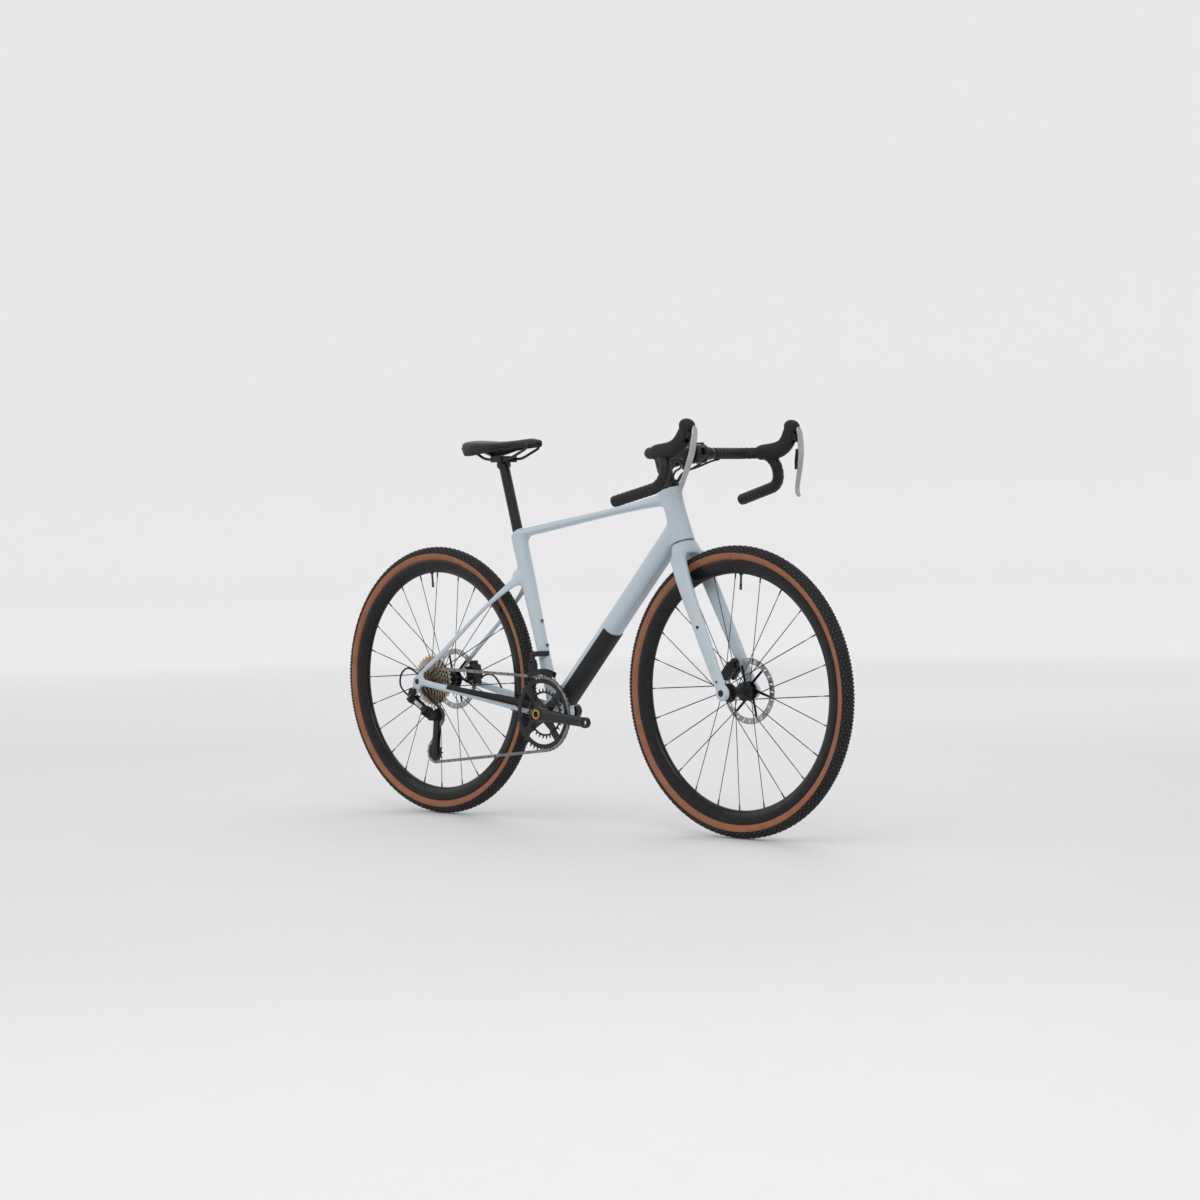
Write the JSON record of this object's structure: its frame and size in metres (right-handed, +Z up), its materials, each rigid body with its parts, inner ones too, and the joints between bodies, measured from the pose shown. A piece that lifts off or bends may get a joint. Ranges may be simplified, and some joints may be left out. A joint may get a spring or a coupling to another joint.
{
  "type": "gravel bike",
  "caption": "Gravel bike with a flared drop bar, disc brakes, moulded frame and fork, two chainrings with derailleurs, tan-sided knobby tyres and a padded saddle.",
  "frame": {"origin": "where the rear tyre meets the ground, in the frame's middle plane", "axes": "+X forward, +Y to the rider's left, +Z up; the chain is on the -Y side"},
  "size_m": [1.7468, 0.4892, 0.9901],
  "materials": {
    "frame_paint": "satin paint over moulded fibre",
    "black_guard": "fine matt",
    "black_metal": "satin black",
    "black_alloy": "black anodised",
    "grey_alloy": "satin grey",
    "black_rim": "gloss black fibre",
    "tyre_side": "tan",
    "tyre_tread": "matt black",
    "steel": "brushed",
    "black_steel": "black",
    "gold_steel": "nickel with a warm tint",
    "hood_rubber": "fine ribbed",
    "bar_tape": "perforated tape",
    "saddle_cover": "smooth synthetic",
    "hose": "smooth",
    "pulley": "moulded",
    "post": "satin black fibre"
  },
  "bodies": {
    "frame": {"front_triangle": "frame_paint", "seat_stays": "frame_paint", "chain_stays": "frame_paint", "frame_guards": "black_guard", "frame_bearings": "black_alloy", "frame_fittings": "black_alloy", "rear_thru_axle": "black_alloy", "rear_caliper": "black_metal", "frame_hoses": "hose", "front_derailleur_body": "black_alloy", "rear_derailleur_knuckle": "black_alloy", "chain": "steel"},
    "steering": {"fork": "frame_paint", "headset_cover": "black_guard", "stem": "black_metal", "stem_faceplate": "black_metal", "stem_bolts": "black_steel", "handlebar": "black_metal", "bar_tape": "bar_tape", "lever_brackets": "black_guard", "lever_hoods": "hood_rubber", "steering_hoses": "hose", "front_caliper": "black_metal", "front_thru_axle": "black_alloy"},
    "cassette": {"cassette": "gold_steel"},
    "crankset": {"right_crank": "black_metal", "chainrings": "black_metal", "left_crank": "black_metal"},
    "rd_outer_link": {"rd_outer_link": "black_alloy"},
    "rd_inner_link": {"rd_inner_link": "black_alloy"},
    "rd_p_knuckle": {"rd_p_knuckle": "black_alloy"},
    "rd_cage": {"rd_cage": "black_alloy"},
    "guide_pulley": {"guide_pulley": "pulley"},
    "tension_pulley": {"tension_pulley": "pulley"},
    "fd_link": {"fd_link": "black_alloy"},
    "fd_cage": {"fd_cage": "black_alloy"},
    "seatpost": {"seatpost": "post", "saddle_clamp": "black_metal"},
    "saddle": {"saddle_base": "black_guard", "saddle_cover": "saddle_cover"},
    "front_wheel": {"front_hub": "black_alloy", "front_spokes": "black_steel", "front_rim": "black_rim", "front_tyre_casing": "tyre_side", "front_tyre_tread": "tyre_tread", "front_rotor": "steel", "front_valve": "black_alloy"},
    "rear_wheel": {"rear_hub": "black_alloy", "rear_spokes": "black_steel", "rear_rim": "black_rim", "rear_tyre_casing": "tyre_side", "rear_tyre_tread": "tyre_tread", "rear_rotor": "steel", "rear_valve": "black_alloy"},
    "right_lever_carrier": {"right_lever_carrier": "black_alloy"},
    "right_brake_lever": {"right_brake_lever": "grey_alloy"},
    "right_shift_paddle": {"right_shift_paddle": "black_guard"},
    "left_lever_carrier": {"left_lever_carrier": "black_alloy"},
    "left_brake_lever": {"left_brake_lever": "grey_alloy"},
    "left_shift_paddle": {"left_shift_paddle": "black_guard"}
  },
  "joints": [
    {"name": "steer_turn", "type": "hinge", "parent": "frame", "child": "steering", "pos_m": [0.87662, 0, 0.70741], "axis": [-0.309, 0, 0.9511], "range_deg": [-60, 60]},
    {"name": "front_wheel_spin", "type": "hinge", "parent": "steering", "child": "front_wheel", "pos_m": [1.045, 0, 0.351], "axis": [0, 1, 0], "continuous": true},
    {"name": "rear_wheel_spin", "type": "hinge", "parent": "frame", "child": "rear_wheel", "pos_m": [0, 0, 0.351], "axis": [0, 1, 0], "continuous": true},
    {"name": "crank_spin", "type": "hinge", "parent": "frame", "child": "crankset", "pos_m": [0.43018, 0, 0.28], "axis": [0, 1, 0], "continuous": true, "deforming": ["chain"]},
    {"name": "cassette_spin", "type": "hinge", "parent": "frame", "child": "cassette", "pos_m": [0, 0, 0.351], "axis": [0, 1, 0], "continuous": true, "deforming": ["chain"]},
    {"name": "rd_shift", "type": "hinge", "parent": "frame", "child": "rd_outer_link", "pos_m": [-0.02362, -0.08026, 0.30636], "axis": [0.498, 0.342, 0.7969], "range_deg": [-18, 23], "deforming": ["chain"]},
    {"name": "rd_inner_swing", "type": "hinge", "parent": "frame", "child": "rd_inner_link", "pos_m": [-0.02671, -0.06429, 0.30143], "axis": [0.498, 0.342, 0.7969], "range_deg": [-18, 23], "deforming": ["chain"]},
    {"name": "rd_knuckle_swing", "type": "hinge", "parent": "rd_outer_link", "child": "rd_p_knuckle", "pos_m": [0.02556, -0.08026, 0.27563], "axis": [0.498, 0.342, 0.7969], "range_deg": [-23, 18], "deforming": ["chain"]},
    {"name": "rd_cage_swing", "type": "hinge", "parent": "rd_p_knuckle", "child": "rd_cage", "pos_m": [0.038, -0.0475, 0.261], "axis": [0, 1, 0], "range_deg": [-50, 35], "stiffness_Nm_per_rad": 0.9, "deforming": ["chain"]},
    {"name": "guide_pulley_spin", "type": "hinge", "parent": "rd_cage", "child": "guide_pulley", "pos_m": [0.038, -0.0475, 0.261], "axis": [0, 1, 0], "continuous": true, "deforming": ["chain"]},
    {"name": "tension_pulley_spin", "type": "hinge", "parent": "rd_cage", "child": "tension_pulley", "pos_m": [0.02821, -0.0475, 0.1655], "axis": [0, 1, 0], "continuous": true, "deforming": ["chain"]},
    {"name": "fd_shift", "type": "hinge", "parent": "frame", "child": "fd_link", "pos_m": [0.39818, -0.0495, 0.428], "axis": [1, 0, 0], "range_deg": [0, 26], "deforming": ["chain"]},
    {"name": "fd_cage_swing", "type": "hinge", "parent": "fd_link", "child": "fd_cage", "pos_m": [0.39818, -0.0495, 0.412], "axis": [1, 0, 0], "range_deg": [-26, 0], "deforming": ["chain"]},
    {"name": "seat_height", "type": "slide", "parent": "frame", "child": "seatpost", "axis": [-0.2672, 0, 0.9636], "range_m": [-0.06, 0.04]},
    {"name": "saddle_slide", "type": "slide", "parent": "seatpost", "child": "saddle", "axis": [1, 0, 0], "range_m": [-0.012, 0.012]},
    {"name": "right_brake_pull", "type": "hinge", "parent": "steering", "child": "right_lever_carrier", "pos_m": [1.0764, -0.19, 0.96175], "axis": [0, 0.9863, -0.165], "range_deg": [0, 14], "stiffness_Nm_per_rad": 2, "springref_deg": -6.88},
    {"name": "right_shift_swing", "type": "hinge", "parent": "right_lever_carrier", "child": "right_brake_lever", "pos_m": [1.0864, -0.19182, 0.9509], "axis": [1, 0, 0], "range_deg": [0, 10], "stiffness_Nm_per_rad": 0.8, "springref_deg": -6.88},
    {"name": "right_release_swing", "type": "hinge", "parent": "right_brake_lever", "child": "right_shift_paddle", "pos_m": [1.0746, -0.19578, 0.92719], "axis": [1, 0, 0], "range_deg": [0, 10], "stiffness_Nm_per_rad": 0.25, "springref_deg": -6.88},
    {"name": "left_brake_pull", "type": "hinge", "parent": "steering", "child": "left_lever_carrier", "pos_m": [1.0764, 0.19, 0.96175], "axis": [0, 0.9863, 0.165], "range_deg": [0, 14], "stiffness_Nm_per_rad": 2, "springref_deg": -6.88},
    {"name": "left_shift_swing", "type": "hinge", "parent": "left_lever_carrier", "child": "left_brake_lever", "pos_m": [1.0864, 0.19182, 0.9509], "axis": [-1, 0, 0], "range_deg": [0, 10], "stiffness_Nm_per_rad": 0.8, "springref_deg": -6.88},
    {"name": "left_release_swing", "type": "hinge", "parent": "left_brake_lever", "child": "left_shift_paddle", "pos_m": [1.0746, 0.19578, 0.92719], "axis": [-1, 0, 0], "range_deg": [0, 10], "stiffness_Nm_per_rad": 0.25, "springref_deg": -6.88}
  ],
  "couplings": [
    {"joint": "cassette_spin", "follows": "crank_spin", "ratio": 2.7059},
    {"joint": "rd_inner_swing", "follows": "rd_shift", "ratio": 1},
    {"joint": "rd_knuckle_swing", "follows": "rd_shift", "ratio": -1},
    {"joint": "guide_pulley_spin", "follows": "crank_spin", "ratio": -4.1818},
    {"joint": "tension_pulley_spin", "follows": "crank_spin", "ratio": 3.5385},
    {"joint": "fd_cage_swing", "follows": "fd_shift", "ratio": -1}
  ]
}
